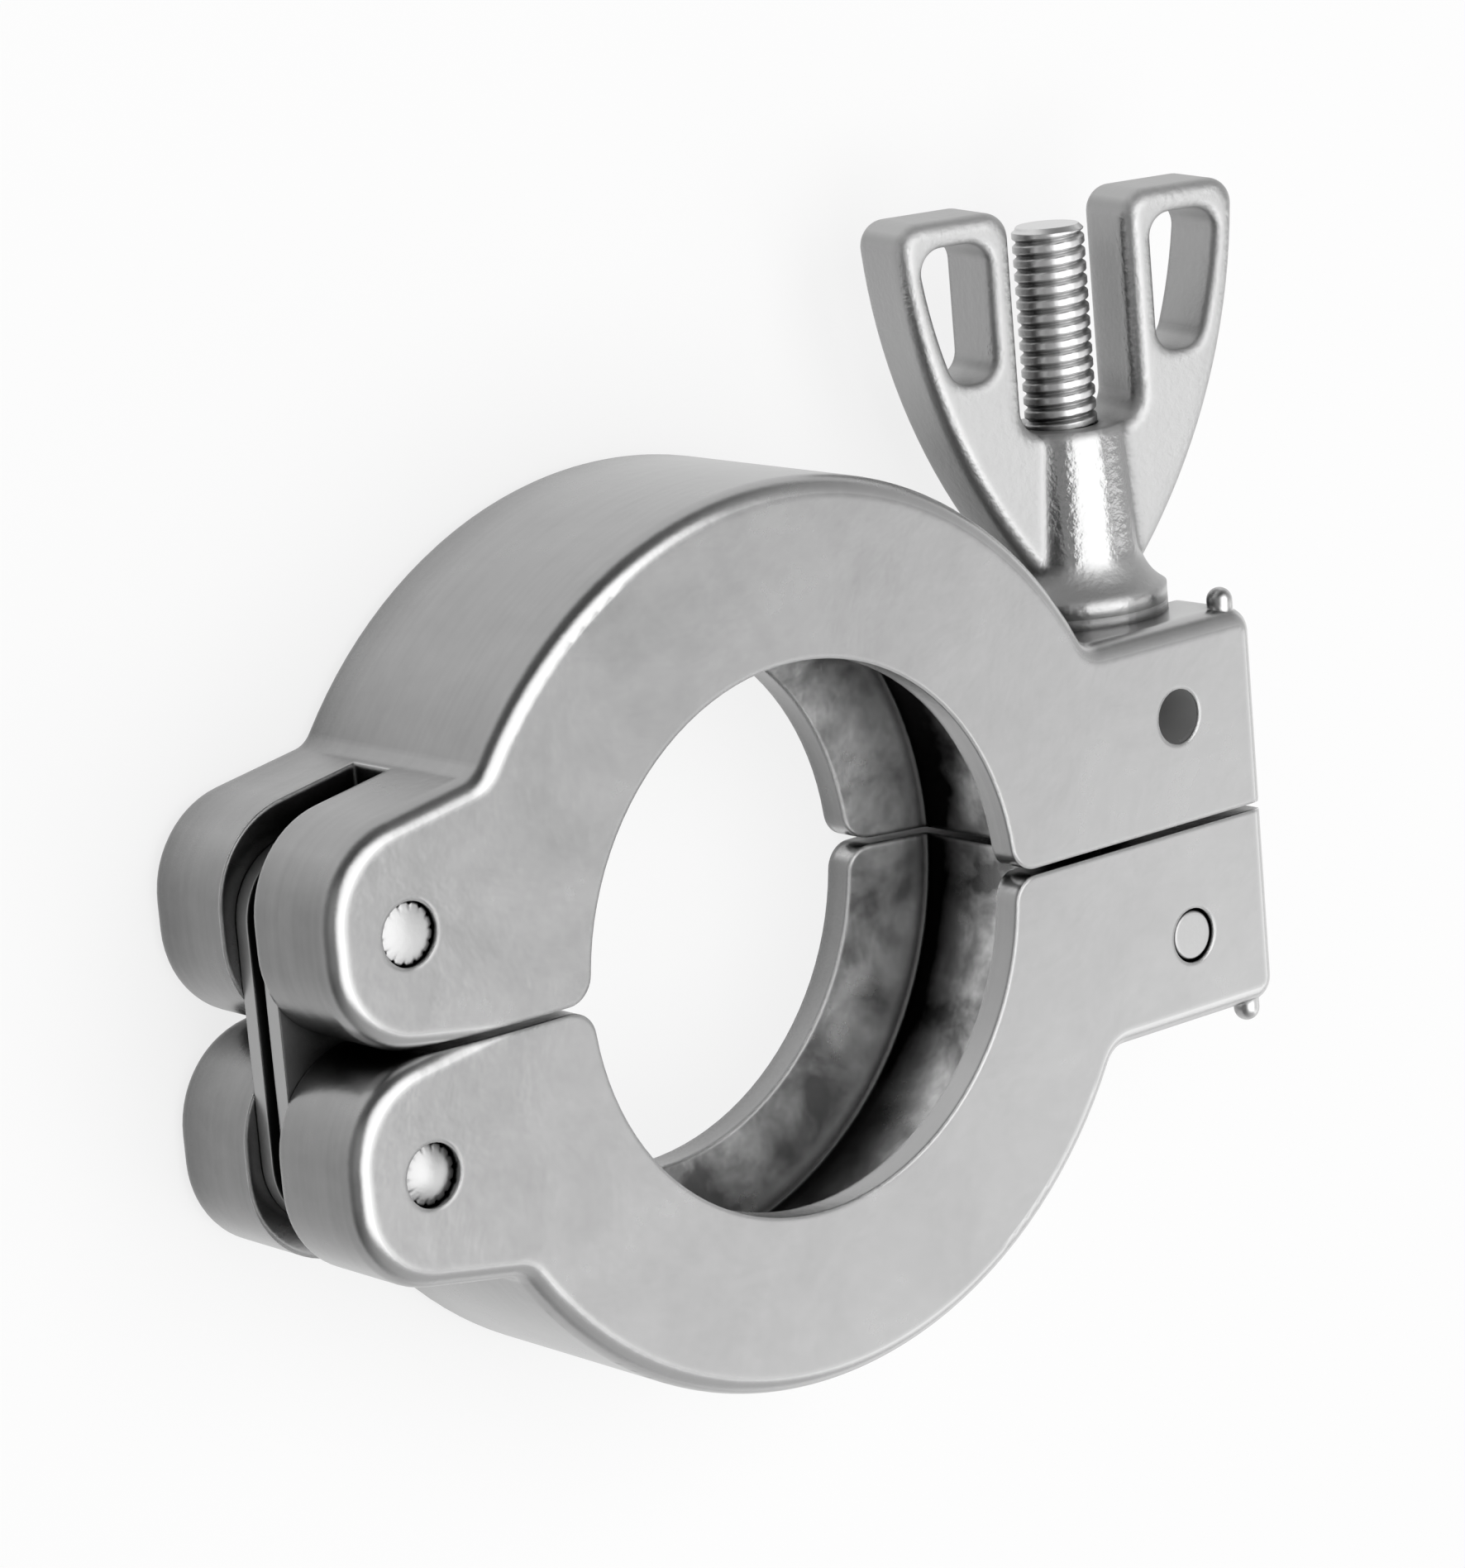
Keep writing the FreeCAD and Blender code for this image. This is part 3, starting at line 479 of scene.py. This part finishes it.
# Blasted metal
def groove_stain_and_shade(n, place):
    """
    Cloudy patches in the groove, from -0.9 to 1.9.

    Painted shade on its bottom, darker towards the back face, brings them down to -2, and a
    lighter strip lifts them where the back flank meets the bottom.
    """
    reach = n.from_axis(place, BORE_AXIS)
    height = n.dot(place, UP)
    in_groove = n.times(n.remap(reach, GROOVE_REACH + STAIN_FADE, GROOVE_REACH),
                        n.remap(reach, BORE_REACH, BORE_REACH + STAIN_FADE))
    off_faces = n.remap(n.size(height), HALF_WIDTH - STAIN_FADE, HALF_WIDTH - 2 * STAIN_FADE)
    cloud = n.remap(n.noise(place, CLOUD_SCALE, detail=4.0, roughness=0.55, distortion=0.2), *CLOUD_RANGE)
    bottom = n.remap(reach, GROOVE_REACH - 6 * STAIN_FADE, GROOVE_REACH - 2 * STAIN_FADE)
    # Painted shade on the groove's bottom, darker towards the back face
    back_shade = n.times(bottom, n.remap(height, BACK_SHADE_LOW, BACK_SHADE_HIGH, 1.0, 0.0))
    back_flank = n.remap(height, FLANK_FOOT, FLANK_FOOT - STAIN_FADE)
    # A lighter strip where the back flank meets the bottom
    flank_strip = n.times(n.times(bottom, back_flank), FLANK_STRIP_LIFT)
    pooled_shade = n.times(back_shade, n.minus(1.0, back_flank))
    stain_and_shade = n.minus(n.times(cloud, n.minus(1.0, back_shade)), n.times(pooled_shade, BACK_SHADE_DEPTH))
    return n.times(n.plus(stain_and_shade, flank_strip), n.times(in_groove, off_faces))


def rim_highlights(n, place, facing):
    """1 on the rounded edges beside both faces, where a highlight is painted, and 0 elsewhere."""
    level = n.size(n.dot(facing, UP))
    leaning = n.times(n.remap(level, *LEANING_RANGE), n.remap(level, *LEVEL_RANGE))
    return n.times(leaning, n.remap(n.size(n.dot(place, UP)), RIM_START, RIM_START + STAIN_FADE))


def tone_and_painted_light(n, inside, blend, edge):
    """How much lighter each place is than the tone: mottled, streaked and stained, with painted light
    across it, painted shade on its outer sides and in the groove, and painted highlights on its edges.
    """
    coordinates = n.add("ShaderNodeTexCoord").outputs
    place, facing = coordinates["Object"], coordinates["Normal"]
    stretched = n.vector("MULTIPLY", place, STREAK_STRETCH, "Vector")
    streak = n.minus(n.noise(stretched, 1.0, detail=2.0), 0.5)
    # Faces turned outwards, where shade is painted
    outward = n.remap(n.dot(facing, OUTWARD), *OUTWARD_RANGE)
    lift = n.times(n.minus(blend, 0.5), n.times(inside["Mottle"], 2.0))
    lift = n.plus(lift, n.times(streak, inside["Streaks"]))
    # Painted light and shade that change steadily along a direction
    lift = n.plus(lift, n.dot(place, inside["Painted Light Slope"]))
    # Painted shade on faces turned outwards
    lift = n.minus(lift, n.times(outward, inside["Side Shade"]))
    # Random stain and painted shade in the groove
    lift = n.plus(lift, n.times(groove_stain_and_shade(n, place), inside["Stain And Shade"]))
    # Painted highlight on the rounded edges beside both faces
    lift = n.plus(lift, n.times(rim_highlights(n, place, facing), inside["Rim Highlight"]))
    # Painted highlight on rounded edges
    return n.plus(lift, n.times(edge, inside["Edge Highlight"]))


def bumped(n, height, distance, normal):
    """The normal, tilted by a height that varies over the surface."""
    bump = n.add("ShaderNodeBump")
    n.feed(bump.inputs["Height"], height)
    n.feed(bump.inputs["Distance"], distance)
    n.feed(bump.inputs["Normal"], normal)
    return bump.outputs["Normal"]


def blasted_metal():
    """The node group of every finish: an uneven tone with painted light and shade, painted shade in
    crevices, a fine grain and rounded edges.
    """
    name = "blasted_metal"
    if name in bpy.data.node_groups:
        return bpy.data.node_groups[name]
    group = bpy.data.node_groups.new(name, "ShaderNodeTree")
    for label, kind, default in FINISH_INPUTS:
        made = group.interface.new_socket(name=label, in_out="INPUT", socket_type=kind)
        made.default_value = default
    for label, kind in FINISH_OUTPUTS:
        group.interface.new_socket(name=label, in_out="OUTPUT", socket_type=kind)
    n = Nodes(group)
    inside = n.add("NodeGroupInput").outputs
    outside = n.add("NodeGroupOutput").inputs
    place = n.add("ShaderNodeTexCoord").outputs["Object"]
    patch_scale = n.times(inside["Mottle Scale"], PATCH_SCALE)
    broad = n.noise(place, inside["Mottle Scale"], detail=4.0, roughness=0.55, distortion=0.4)
    patch = n.noise(place, patch_scale, detail=3.0, roughness=0.6)
    blend = n.plus(n.times(broad, 1.0 - PATCH_SHARE), n.times(patch, PATCH_SHARE))

    bevel = n.add("ShaderNodeBevel", samples=6)
    n.feed(bevel.inputs["Radius"], inside["Edge Radius"])
    rounded = bevel.outputs["Normal"]
    true_normal = n.add("ShaderNodeNewGeometry").outputs["Normal"]
    edge = n.remap(n.dot(rounded, true_normal), *EDGE_RANGE)

    # Painted shade: the colour darkens where nearby surfaces close round a place, in crevices, slots and
    # gaps
    open_sky = n.add("ShaderNodeAmbientOcclusion", samples=4)
    n.feed(open_sky.inputs["Distance"], inside["Crevice Shade Reach"])
    crevice_shade = n.remap(open_sky.outputs["AO"], *CREVICE_SHADE_RANGE)
    brightness = n.times(n.plus(tone_and_painted_light(n, inside, blend, edge), 1.0), crevice_shade)
    scaled = n.add("ShaderNodeVectorMath", operation="SCALE")
    n.feed(scaled.inputs[0], inside["Tone"])
    n.feed(scaled.inputs["Scale"], brightness)

    rough = n.plus(inside["Roughness"], n.times(n.minus(blend, 0.5), ROUGHNESS_SPREAD))
    rough = n.math("SUBTRACT", rough, n.times(edge, inside["Edge Gloss"]), clamp=True)
    wavy = bumped(n, broad, inside["Wave Height"], rounded)
    grain = n.noise(place, inside["Grain Scale"], detail=2.0, roughness=0.6)
    n.join(scaled.outputs[0], outside["Color"])
    n.join(rough, outside["Roughness"])
    n.join(bumped(n, grain, inside["Grain Height"], wavy), outside["Normal"])
    n.join(rounded, outside["Rounded"])
    return group


# Materials
def metal(name, tone, finish, metallic=1.0):
    """A Principled metal whose colour, roughness and normal come from the blasted metal group."""
    material = bpy.data.materials.new(name)
    material.use_nodes = True
    n = Nodes(material.node_tree)
    shader = principled(material)
    shader.inputs["Metallic"].default_value = metallic
    group = n.add("ShaderNodeGroup", node_tree=blasted_metal())
    group.inputs["Tone"].default_value = (*tone, 1.0)
    for label, value in finish.items():
        group.inputs[label].default_value = value
    n.join(group.outputs["Color"], shader.inputs["Base Color"])
    n.join(group.outputs["Roughness"], shader.inputs["Roughness"])
    n.join(group.outputs["Normal"], shader.inputs["Normal"])
    return material


def hole_wall(n):
    """1 on the wall of the upper lug's cross hole, which mirrors the bolt's pin, and 0 elsewhere."""
    low, high = span("bolt_pin")
    radius = (high[0] - low[0]) / 2
    centre = (low + high) / 2
    place = n.add("ShaderNodeTexCoord").outputs["Object"]
    away = n.from_axis(place, (centre[0], -centre[1], 0.0))
    inside = n.remap(away, radius + STAIN_FADE, radius + STAIN_FADE / 2)
    height = n.size(n.dot(place, UP))
    return n.times(inside, n.remap(height, HALF_WIDTH - STAIN_FADE / 2, HALF_WIDTH - STAIN_FADE))


def jaw_material():
    """Blasted castings, with a dull wall in the cross hole that no pin fills."""
    tone = colours().jaw
    material = metal("blasted_jaw", tone, JAW_FINISH)
    n = Nodes(material.node_tree)
    shader = principled(material)
    colour = shader.inputs["Base Color"]
    wall = hole_wall(n)
    n.join(n.mix(wall, source_of(colour), (*tone, 1.0)), colour)
    n.join(n.minus(1.0, wall), shader.inputs["Metallic"])
    return material


def nut_material():
    """Plated castings, matte on the wings' flat faces and the hub's foot, and glossy elsewhere."""
    material = metal("plated_nut", colours().nut, NUT_FINISH)
    n = Nodes(material.node_tree)
    gloss = principled(material).inputs["Roughness"]
    rough = source_of(gloss)
    own_way = n.add("ShaderNodeVectorTransform", vector_type="NORMAL",
                    convert_from="WORLD", convert_to="OBJECT")
    n.join(rough.node.outputs["Rounded"], own_way.inputs[0])
    normal = own_way.outputs[0]
    place = n.add("ShaderNodeTexCoord").outputs["Object"]
    wing_middle = float(np.dot(middle("swing_bolt"), WING_FACE))
    from_middle = n.size(n.minus(n.dot(place, WING_FACE), wing_middle))
    on_wing = n.remap(from_middle, *WING_RANGE)
    facing = n.remap(n.size(n.dot(normal, WING_FACE)), *FACING_RANGE)
    foot = n.remap(n.size(n.dot(normal, ALONG_BOLT)), *FOOT_RANGE)
    matte = n.math("MAXIMUM", n.times(facing, on_wing), foot)
    shiny = n.times(n.minus(1.0, matte), NUT_GLOSS)
    n.join(n.plus(n.times(matte, rough), shiny), gloss)
    return material


def thread_material():
    """Bright plating, with painted shade in the thread's root."""
    material = metal("plated_thread", colours().bolt, THREAD_FINISH)
    n = Nodes(material.node_tree)
    colour = principled(material).inputs["Base Color"]
    # Painted shade in the thread's root
    root = n.add("ShaderNodeAttribute", attribute_name="root_shade_share").outputs["Fac"]
    n.join(n.mix(n.remap(root, *ROOT_SHADE_RANGE), source_of(colour), ROOT_SHADE_COLOUR), colour)
    return material


def finish_piece(piece, material):
    """Puts one material in every slot of a piece or CAD node."""
    if not piece.material_slots:
        piece.data.materials.append(material)
    for slot in piece.material_slots:
        slot.material = material


# Sizes and colours that a user would change
class ClampSizes(bpy.types.PropertyGroup):
    bolt_radius: FloatProperty(name="Bolt radius", description="Outside of the thread",
                               default=2.08 * MM, unit="LENGTH", precision=5)
    thread_pitch: FloatProperty(name="Thread pitch", description="Rise of the thread in one turn",
                                default=0.79375 * MM, unit="LENGTH", precision=5)
    thread_depth: FloatProperty(name="Thread depth", description="Crest to root",
                                default=0.22 * MM, unit="LENGTH", precision=5)
    thread_length: FloatProperty(name="Thread length", description="Threaded end of the bolt",
                                 default=30 * MM, unit="LENGTH", precision=5)
    tip_chamfer: FloatProperty(name="Tip chamfer", description="Cone at the bolt's tip",
                               default=0.3 * MM, unit="LENGTH", precision=5)
    eye_radius: FloatProperty(name="Eye radius", description="Outside of the bolt's eye",
                              default=4.2 * MM, unit="LENGTH", precision=5)
    eye_bore: FloatProperty(name="Eye bore", description="Radius of the hole in the eye",
                            default=1.66 * MM, unit="LENGTH", precision=5)
    eye_edge: FloatProperty(name="Eye edge", description="Rounding of the eye's edges",
                            default=0.3 * MM, unit="LENGTH", precision=5)
    pin_edge: FloatProperty(name="Pin edge", description="Rounding at the ends of the pins",
                            default=0.16 * MM, unit="LENGTH", precision=5)
    pin_dome: FloatProperty(name="Pin dome", description="Rise of a domed pin end",
                            default=0.35 * MM, unit="LENGTH", precision=5)
    grip_count: IntProperty(name="Grip grooves", description="Grooves round each end of a pin", default=14)
    grip_depth: FloatProperty(name="Grip depth", description="Depth of the grip grooves",
                              default=0.14 * MM, unit="LENGTH", precision=5)
    hinge_ring: FloatProperty(name="Hinge ring", description="Open ring round the end of a hinge pin",
                              default=0.03 * MM, unit="LENGTH", precision=5)
    bolt_ring: FloatProperty(name="Bolt ring", description="Open ring round the end of the bolt's pin",
                             default=0.16 * MM, unit="LENGTH", precision=5)
    grip_length: FloatProperty(name="Grip length", description="Length of the grip grooves",
                               default=2.0 * MM, unit="LENGTH", precision=5)


class ClampColours(bpy.types.PropertyGroup):
    jaw: FloatVectorProperty(name="Jaw", description="Blasted jaw castings",
                             subtype="COLOR", default=(0.42, 0.42, 0.42))
    nut: FloatVectorProperty(name="Nut", description="Plated wing nut",
                             subtype="COLOR", default=(0.53, 0.53, 0.53))
    bolt: FloatVectorProperty(name="Bolt", description="Plated thread",
                              subtype="COLOR", default=(0.72, 0.72, 0.72))
    pin: FloatVectorProperty(name="Pins", description="Bright pins",
                             subtype="COLOR", default=(0.52, 0.52, 0.52))
    # Painted shade: the link's tone is dark to stand for the shade in the gap between the knuckles, where
    # it shows
    link: FloatVectorProperty(name="Link", description="Stamped link plates",
                              subtype="COLOR", default=(0.18, 0.18, 0.18))
    floor: FloatVectorProperty(name="Floor", description="Pale studio floor",
                               subtype="COLOR", default=(0.95, 0.95, 0.95))
    backdrop: FloatVectorProperty(name="Backdrop", description="Paleness of the floor as it is seen",
                                  subtype="COLOR", default=(1.0, 1.0, 1.0))


def settings():
    """The clamp's sizes in this scene."""
    return bpy.context.scene.clamp_sizes


def colours():
    """The clamp's colours in this scene."""
    return bpy.context.scene.clamp_colours


# The camera, with its place in mm and its turn in degrees
CAMERA_PLACE = (-198.43, 79.79, 244.26)
CAMERA_TURN = (-8.85, -40.32, -6.36)
CAMERA_LENS = 134.96
CAMERA_SENSOR = 36.0
CAMERA_NEAR = 0.01
CAMERA_FAR = 10.0

# The floor, which lies just under the back face
FLOOR_HALF = 1.5
FLOOR_GAP = 0.02 * MM
FLOOR_GLOW = 0.8
FLOOR_ROUGHNESS = 0.9
FLOOR_SPECULAR = 0.1

# The walls of the room: the way to each, where it fades in, and its strength
BRIGHT_SIDE = (0.77, -0.64, 0.0)
WALL_RANGE = (-0.6, 0.8, 0.025, 0.6)
SKIRTING_RANGE = (0.62, 0.25, 0.0, 0.2)
WINDOW_SIDE = (-0.929, 0.12, 0.35)
WINDOW_RANGE = (0.75, 0.92, 0.0, 0.38)

# The lamps: name, place, aim, width, depth and power
LAMPS = (
    ("overhead", (0.01, 0.04, 0.5), (0.01, 0.04, 0.0), 0.58, 0.74, 2.35),
    ("side", (0.41, -0.23, 0.28), (0.0, 0.0, 0.0), 0.4, 0.4, 0.35),
)


# Studio
def make_camera():
    """A camera that sees the clamp as the photograph does."""
    data = bpy.data.cameras.new("photo_view")
    data.lens = CAMERA_LENS
    data.sensor_width = CAMERA_SENSOR
    data.clip_start = CAMERA_NEAR
    data.clip_end = CAMERA_FAR
    camera = bpy.data.objects.new("photo_view", data)
    camera.location = [value * MM for value in CAMERA_PLACE]
    camera.rotation_euler = [math.radians(value) for value in CAMERA_TURN]
    bpy.context.scene.collection.objects.link(camera)
    bpy.context.scene.camera = camera


def make_floor():
    """A pale floor that takes the clamp's shadow, and glows where a camera or a reflection sees it."""
    low = span("lower_jaw")[0][2] - FLOOR_GAP
    corners = ((-1, -1), (1, -1), (1, 1), (-1, 1))
    points = np.array([(x * FLOOR_HALF, y * FLOOR_HALF, low) for x, y in corners])
    floor = add_mesh("floor", points, np.array([[0, 1, 2, 3]]))
    material = bpy.data.materials.new("pale_floor")
    material.use_nodes = True
    n = Nodes(material.node_tree)
    shader = principled(material)
    shader.inputs["Base Color"].default_value = (*colours().floor, 1.0)
    shader.inputs["Roughness"].default_value = FLOOR_ROUGHNESS
    shader.inputs["Specular IOR Level"].default_value = FLOOR_SPECULAR
    glow = n.add("ShaderNodeEmission")
    glow.inputs["Color"].default_value = (*colours().backdrop, 1.0)
    rays = n.add("ShaderNodeLightPath").outputs
    reflected = n.math("MAXIMUM", rays["Is Glossy Ray"], rays["Is Transmission Ray"])
    seen = n.math("MAXIMUM", rays["Is Camera Ray"], reflected)
    blend = n.add("ShaderNodeMixShader")
    n.feed(blend.inputs[0], n.times(seen, FLOOR_GLOW))
    n.join(shader.outputs[0], blend.inputs[1])
    n.join(glow.outputs[0], blend.inputs[2])
    n.join(blend.outputs[0], material.node_tree.nodes["Material Output"].inputs["Surface"])
    finish_piece(floor, material)


def make_world():
    """
    A room that fades from a dark wall to a pale one on its bright side.

    It is grey low down all round, and has a dim round window in its dark wall.
    """
    world = bpy.data.worlds.new("studio")
    bpy.context.scene.world = world
    world.use_nodes = True
    n = Nodes(world.node_tree)
    background = world.node_tree.nodes["Background"]
    background.inputs["Color"].default_value = (1.0, 1.0, 1.0, 1.0)
    way = n.add("ShaderNodeTexCoord").outputs["Generated"]
    wall = n.remap(n.dot(way, BRIGHT_SIDE), *WALL_RANGE)
    skirting = n.remap(n.dot(way, UP), *SKIRTING_RANGE)
    window = n.remap(n.dot(way, WINDOW_SIDE), *WINDOW_RANGE)
    n.join(n.math("MAXIMUM", window, n.math("MAXIMUM", wall, skirting)), background.inputs["Strength"])


def add_lamp(name, place, aim, width, depth, power):
    """A soft rectangular lamp that faces the aim point."""
    data = bpy.data.lights.new(name, "AREA")
    data.shape = "RECTANGLE"
    data.size = width
    data.size_y = depth
    data.energy = power
    lamp = bpy.data.objects.new(name, data)
    lamp.location = place
    x, y, z = np.array(aim) - np.array(place)
    lamp.rotation_euler = (math.atan2(math.hypot(x, y), -z), 0.0, math.atan2(-x, y))
    bpy.context.scene.collection.objects.link(lamp)


# Operators
class CLAMP_OT_stage(bpy.types.Operator):
    """Add the floor, the world, the lamps and the camera."""
    bl_idname = "clamp.stage"
    bl_label = "Studio"

    def execute(self, context):
        make_camera()
        make_floor()
        make_world()
        for lamp in LAMPS:
            add_lamp(*lamp)
        context.scene.view_settings.view_transform = "Standard"
        return {"FINISHED"}


class CLAMP_OT_bolt(bpy.types.Operator):
    """Add the threaded eye bolt."""
    bl_idname = "clamp.bolt"
    bl_label = "Threaded bolt"

    def execute(self, context):
        finish_piece(make_bolt(settings()), thread_material())
        return {"FINISHED"}


class CLAMP_OT_pins(bpy.types.Operator):
    """Add the hinge pins and the bolt's pin."""
    bl_idname = "clamp.pins"
    bl_label = "Pins"

    def execute(self, context):
        sizes = settings()
        dome, ring, depth = sizes.pin_dome, sizes.hinge_ring, sizes.grip_depth
        material = metal("bright_pin", colours().pin, PIN_FINISH)
        for name, node, body, rise, gap, notch in (
            ("domed_hinge_pin", "lower_hinge_pin", "lower_jaw", dome, ring, depth),
            ("low_hinge_pin", "upper_hinge_pin", "upper_jaw", dome / 2, ring, depth),
            ("flat_bolt_pin", "bolt_pin", "lower_jaw", 0.0, sizes.bolt_ring, 0.0),
        ):
            finish_piece(make_pin(name, node, body, rise, gap, notch, sizes), material)
        return {"FINISHED"}


class CLAMP_OT_castings(bpy.types.Operator):
    """Finish the jaws, the link, the washer and the wing nut."""
    bl_idname = "clamp.castings"
    bl_label = "Castings and plates"

    def execute(self, context):
        jaw = jaw_material()
        nut = nut_material()
        link = metal("stamped_link", colours().link, LINK_FINISH, LINK_METALLIC)
        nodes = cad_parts
        for node, material in (("lower_jaw", jaw), ("upper_jaw", jaw), ("wing_nut", nut), ("washer", nut),
                               ("link_plate_front", link), ("link_plate_back", link)):
            finish_piece(nodes[node], material)
        return {"FINISHED"}


class CLAMP_PT_panel(bpy.types.Panel):
    """The clamp's pieces and its studio."""
    bl_idname = "CLAMP_PT_panel"
    bl_label = "Flange clamp"
    bl_space_type = "VIEW_3D"
    bl_region_type = "UI"
    bl_category = "Clamp"

    def draw(self, context):
        for operator in OPERATORS:
            self.layout.operator(operator.bl_idname)
        for group in (context.scene.clamp_sizes, context.scene.clamp_colours):
            box = self.layout.box()
            for name in group.__annotations__:
                box.prop(group, name)


OPERATORS = (CLAMP_OT_stage, CLAMP_OT_bolt, CLAMP_OT_pins, CLAMP_OT_castings)
CLASSES = (ClampSizes, ClampColours, *OPERATORS, CLAMP_PT_panel)


def register():
    for item in CLASSES:
        bpy.utils.register_class(item)
    bpy.types.Scene.clamp_sizes = PointerProperty(type=ClampSizes)
    bpy.types.Scene.clamp_colours = PointerProperty(type=ClampColours)


def unregister():
    del bpy.types.Scene.clamp_colours
    del bpy.types.Scene.clamp_sizes
    for item in reversed(CLASSES):
        bpy.utils.unregister_class(item)


def main():
    register()
    bpy.ops.clamp.stage()
    bpy.ops.clamp.bolt()
    bpy.ops.clamp.pins()
    bpy.ops.clamp.castings()


if __name__ == "__main__":
    main()
